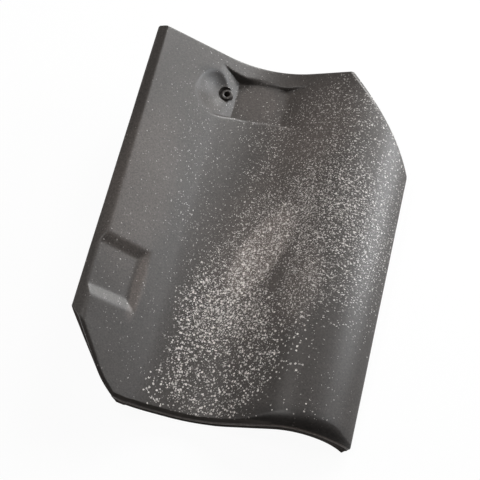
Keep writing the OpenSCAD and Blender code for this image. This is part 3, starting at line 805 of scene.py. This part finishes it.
def engobed_clay(finish):
    """Pressed and fired clay under a matt anthracite slip: a soft broad gloss, fine grit and pale flecks."""
    material, tree, shader = new_material("engobed_clay")
    shader.inputs["IOR"].default_value = 1.5
    shader.inputs["Roughness"].default_value = 0.43
    mix = {"data_type": 'RGBA'}
    coords = add(tree, 'ShaderNodeTexCoord').outputs["Object"]
    # Clouds of thinner and thicker slip, from a hand's width down to a finger's
    cloud = add(tree, 'ShaderNodeTexNoise', Vector=coords, Scale=1 / (45 * MM), Detail=4.0, Roughness=0.6)
    slip = add(tree, 'ShaderNodeMix', mix, i0=cloud.outputs[0],
               i6=(*finish.engobe_dark, 1), i7=(*finish.engobe, 1))
    # The tone at each place: painted shade below a half, and a pale film above it, which on the seam is a
    # painted highlight and on the recess floor painted light
    lie = add(tree, 'ShaderNodeAttribute', {"attribute_name": FLECKS_AND_SHADE_LAYER})
    shade = add(tree, 'ShaderNodeMapRange', Value=lie.outputs["Alpha"], From_Max=0.5, To_Min=1.0, To_Max=0.0)
    slip = add(tree, 'ShaderNodeMix', mix, i0=shade.outputs[0],
               i6=slip.outputs[2], i7=(*finish.painted_shade, 1))
    film = add(tree, 'ShaderNodeMapRange', Value=lie.outputs["Alpha"], From_Min=0.5)
    slip = add(tree, 'ShaderNodeMix', mix, i0=film.outputs[0], i6=slip.outputs[2], i7=(*finish.pale_film_and_highlight, 1))
    # Flecks with ragged edges: their pattern is pushed about by about their own size
    push = add(tree, 'ShaderNodeTexNoise', Vector=coords, Scale=1 / (1.3 * MM), Detail=2.0)
    ragged = add(tree, 'ShaderNodeVectorMath', {"operation": 'MULTIPLY_ADD'},
                 i0=push.outputs["Color"], i1=[1.5 * MM] * 3, i2=coords).outputs[0]
    fine, large, drawn_out = add(tree, 'ShaderNodeSeparateColor', Color=lie.outputs["Color"]).outputs
    fine = flecks(tree, ragged, fine, cell=1.0, reach=0.6, thin=0.05, thick=0.95, sparse=0.5)
    large = flecks(tree, ragged, large, cell=2.0, reach=1.15, thin=0.45, thick=1.0, sparse=0.9)
    streak = flecks(tree, ragged, drawn_out, cell=1.05, reach=0.58, thin=0.06, thick=0.85, sparse=0.8,
                    stretch=2.3)
    some = add(tree, 'ShaderNodeMath', {"operation": 'MAXIMUM'}, i0=fine, i1=large)
    some = add(tree, 'ShaderNodeMath', {"operation": 'MAXIMUM'}, i0=some.outputs[0], i1=streak)
    # Even the thickest fleck lets a little of the slip through
    cover = add(tree, 'ShaderNodeMath', {"operation": 'MULTIPLY'}, i0=some.outputs[0], i1=0.92)
    # Grit of the slip in height and tone, drawn coarser than it is so that it shows at all
    grit = add(tree, 'ShaderNodeTexNoise', Vector=ragged, Scale=1 / (1.5 * MM), Detail=2.0)
    grain = add(tree, 'ShaderNodeMapRange', Value=grit.outputs[0], From_Min=0.25, From_Max=0.75)
    slip = add(tree, 'ShaderNodeMix', {**mix, "blend_type": 'OVERLAY'}, i0=0.4,
               i6=slip.outputs[2], i7=grain.outputs[0])
    skin = add(tree, 'ShaderNodeMix', mix, i0=cover.outputs[0], i6=slip.outputs[2], i7=(*finish.fleck, 1))
    tree.links.new(skin.outputs[2], shader.inputs["Base Color"])
    bump = add(tree, 'ShaderNodeBump', Height=grit.outputs[0], Strength=0.25, Distance=0.2 * MM)
    tree.links.new(bump.outputs[0], shader.inputs["Normal"])
    return material


def bare_clay(finish):
    """Bare dark clay on the edges, below and in the nail hole: dull, blotched by the kiln and pitted."""
    material, tree, shader = new_material("bare_clay")
    shader.inputs["Roughness"].default_value = 0.9
    shader.inputs["Specular IOR Level"].default_value = 0.0
    coords = add(tree, 'ShaderNodeTexCoord').outputs["Object"]
    # Blotches about as wide as a thumb
    blotch = add(tree, 'ShaderNodeTexNoise', Vector=coords, Scale=1 / (28 * MM), Detail=5.0, Roughness=0.65)
    spread = add(tree, 'ShaderNodeMapRange', Value=blotch.outputs[0], From_Min=0.3, From_Max=0.7)
    clay = add(tree, 'ShaderNodeMix', {"data_type": 'RGBA'}, i0=spread.outputs[0],
               i6=(*finish.bare, 1), i7=(*finish.bare_pale, 1))
    tree.links.new(clay.outputs[2], shader.inputs["Base Color"])
    # Pits of the pressed clay, drawn coarser than they are so that they show at all
    pits = add(tree, 'ShaderNodeTexNoise', Vector=coords, Scale=1 / (1.8 * MM), Detail=3.0)
    bump = add(tree, 'ShaderNodeBump', Height=pits.outputs[0], Strength=0.5, Distance=0.3 * MM)
    tree.links.new(bump.outputs[0], shader.inputs["Normal"])
    return material


class ROOFTILE_OT_stage(bpy.types.Operator):
    """Sets the floor, the soft light and the camera"""

    bl_idname = "rooftile.stage"
    bl_label = "Studio"

    # Half the floor's width in metres, and its gap under the tile
    FLOOR_HALF = 4
    FLOOR_GAP = 0.3 * MM
    # Share of the floor's own white in what the camera sees of it; the rest carries the shadow
    GLOW_SHARE = 0.95

    def execute(self, context):
        scene = context.scene
        bm = bmesh.new()
        bmesh.ops.create_grid(bm, x_segments=1, y_segments=1, size=self.FLOOR_HALF)
        floor = new_object(scene, "studio_floor", bm)
        floor.location.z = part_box(NODE)[0][2] - self.FLOOR_GAP
        floor.data.materials.append(self.floor_paper(scene.roof_tile_finish))
        self.lamps(scene)
        self.camera(scene)
        scene.view_settings.view_transform = 'Standard'
        return {'FINISHED'}

    def floor_paper(self, finish):
        """White studio paper: white to the camera, with the tile's shadow kept."""
        material, tree, _ = new_material("white_paper")
        tree.nodes.clear()
        ray = add(tree, 'ShaderNodeLightPath').outputs
        seen = add(tree, 'ShaderNodeMath', {"operation": 'MAXIMUM'},
                   i0=ray["Is Camera Ray"], i1=ray["Is Glossy Ray"])
        seen = add(tree, 'ShaderNodeMath', {"operation": 'MAXIMUM'},
                   i0=seen.outputs[0], i1=ray["Is Transmission Ray"])
        share = add(tree, 'ShaderNodeMath', {"operation": 'MULTIPLY'}, i0=seen.outputs[0], i1=self.GLOW_SHARE)
        paper = add(tree, 'ShaderNodeBsdfDiffuse', Color=(*finish.floor, 1))
        glow = add(tree, 'ShaderNodeEmission', Color=(1, 1, 1, 1), Strength=1.0)
        mix = add(tree, 'ShaderNodeMixShader', i0=share.outputs[0], i1=paper.outputs[0], i2=glow.outputs[0])
        add(tree, 'ShaderNodeOutputMaterial', Surface=mix.outputs[0])
        return material

    def lamps(self, scene):
        """Soft boxes beyond the head, close on the right and overhead, and a dim even surround.

        Each has its bearing and height in degrees, distance and width in metres, power and tint.
        """
        for name, bearing, height, distance, width, power, tint in (
                ("soft_box_head", 75, 30, 1.6, 0.6, 24.0, (0.985, 0.99, 0.985)),
                ("soft_box_right", 35, 22, 0.8, 0.4, 5.0, (0.95, 0.975, 1.0)),
                ("soft_box_over", 180, 68, 1.6, 0.6, 8.0, (1.0, 0.98, 0.96))):
            aim = Vector((1, 0, 0))
            aim.rotate(Euler((0, -math.radians(height), math.radians(bearing)), 'XYZ'))
            lamp = bpy.data.lights.new(name, 'AREA')
            lamp.shape = 'SQUARE'
            lamp.size = width
            lamp.energy = power
            lamp.color = tint
            thing = bpy.data.objects.new(name, lamp)
            thing.location = aim * distance
            thing.rotation_euler = aim.to_track_quat('Z', 'Y').to_euler()
            scene.collection.objects.link(thing)
        world = bpy.data.worlds.new("studio")
        world.use_nodes = True
        surround = world.node_tree.nodes["Background"].inputs
        surround["Color"].default_value = (1, 1, 1, 1)
        surround["Strength"].default_value = 0.03
        scene.world = world

    def camera(self, scene):
        """The photograph's view, for a square frame."""
        lens = bpy.data.cameras.new("camera")
        lens.lens = 118.777
        lens.sensor_width = 36
        eye = bpy.data.objects.new("camera", lens)
        eye.location = (0.193528, -0.710026, 1.198369)
        eye.rotation_euler = Euler((0.555268, 0.031166, 0.227108), 'XYZ')
        scene.collection.objects.link(eye)
        scene.camera = eye


class ROOFTILE_PT_panel(bpy.types.Panel):
    """Sizes and colours of the tile, and the steps that build it"""

    bl_idname = "ROOFTILE_PT_panel"
    bl_label = "Roof tile"
    bl_space_type = 'VIEW_3D'
    bl_region_type = 'UI'
    bl_category = "Roof tile"

    def draw(self, context):
        for step in (ROOFTILE_OT_tile, ROOFTILE_OT_stage):
            self.layout.operator(step.bl_idname)
        for group in (context.scene.roof_tile_finish, context.scene.roof_tile_sizes):
            column = self.layout.column(align=True)
            for name in type(group).__annotations__:
                column.prop(group, name)


CLASSES = (RoofTileSizes, RoofTileFinish, ROOFTILE_OT_tile, ROOFTILE_OT_stage, ROOFTILE_PT_panel)


def register():
    for cls in CLASSES:
        bpy.utils.register_class(cls)
    bpy.types.Scene.roof_tile_sizes = PointerProperty(type=RoofTileSizes)
    bpy.types.Scene.roof_tile_finish = PointerProperty(type=RoofTileFinish)


def unregister():
    del bpy.types.Scene.roof_tile_finish
    del bpy.types.Scene.roof_tile_sizes
    for cls in reversed(CLASSES):
        bpy.utils.unregister_class(cls)


def main():
    register()
    bpy.ops.rooftile.tile()
    bpy.ops.rooftile.stage()


if __name__ == "__main__":
    main()
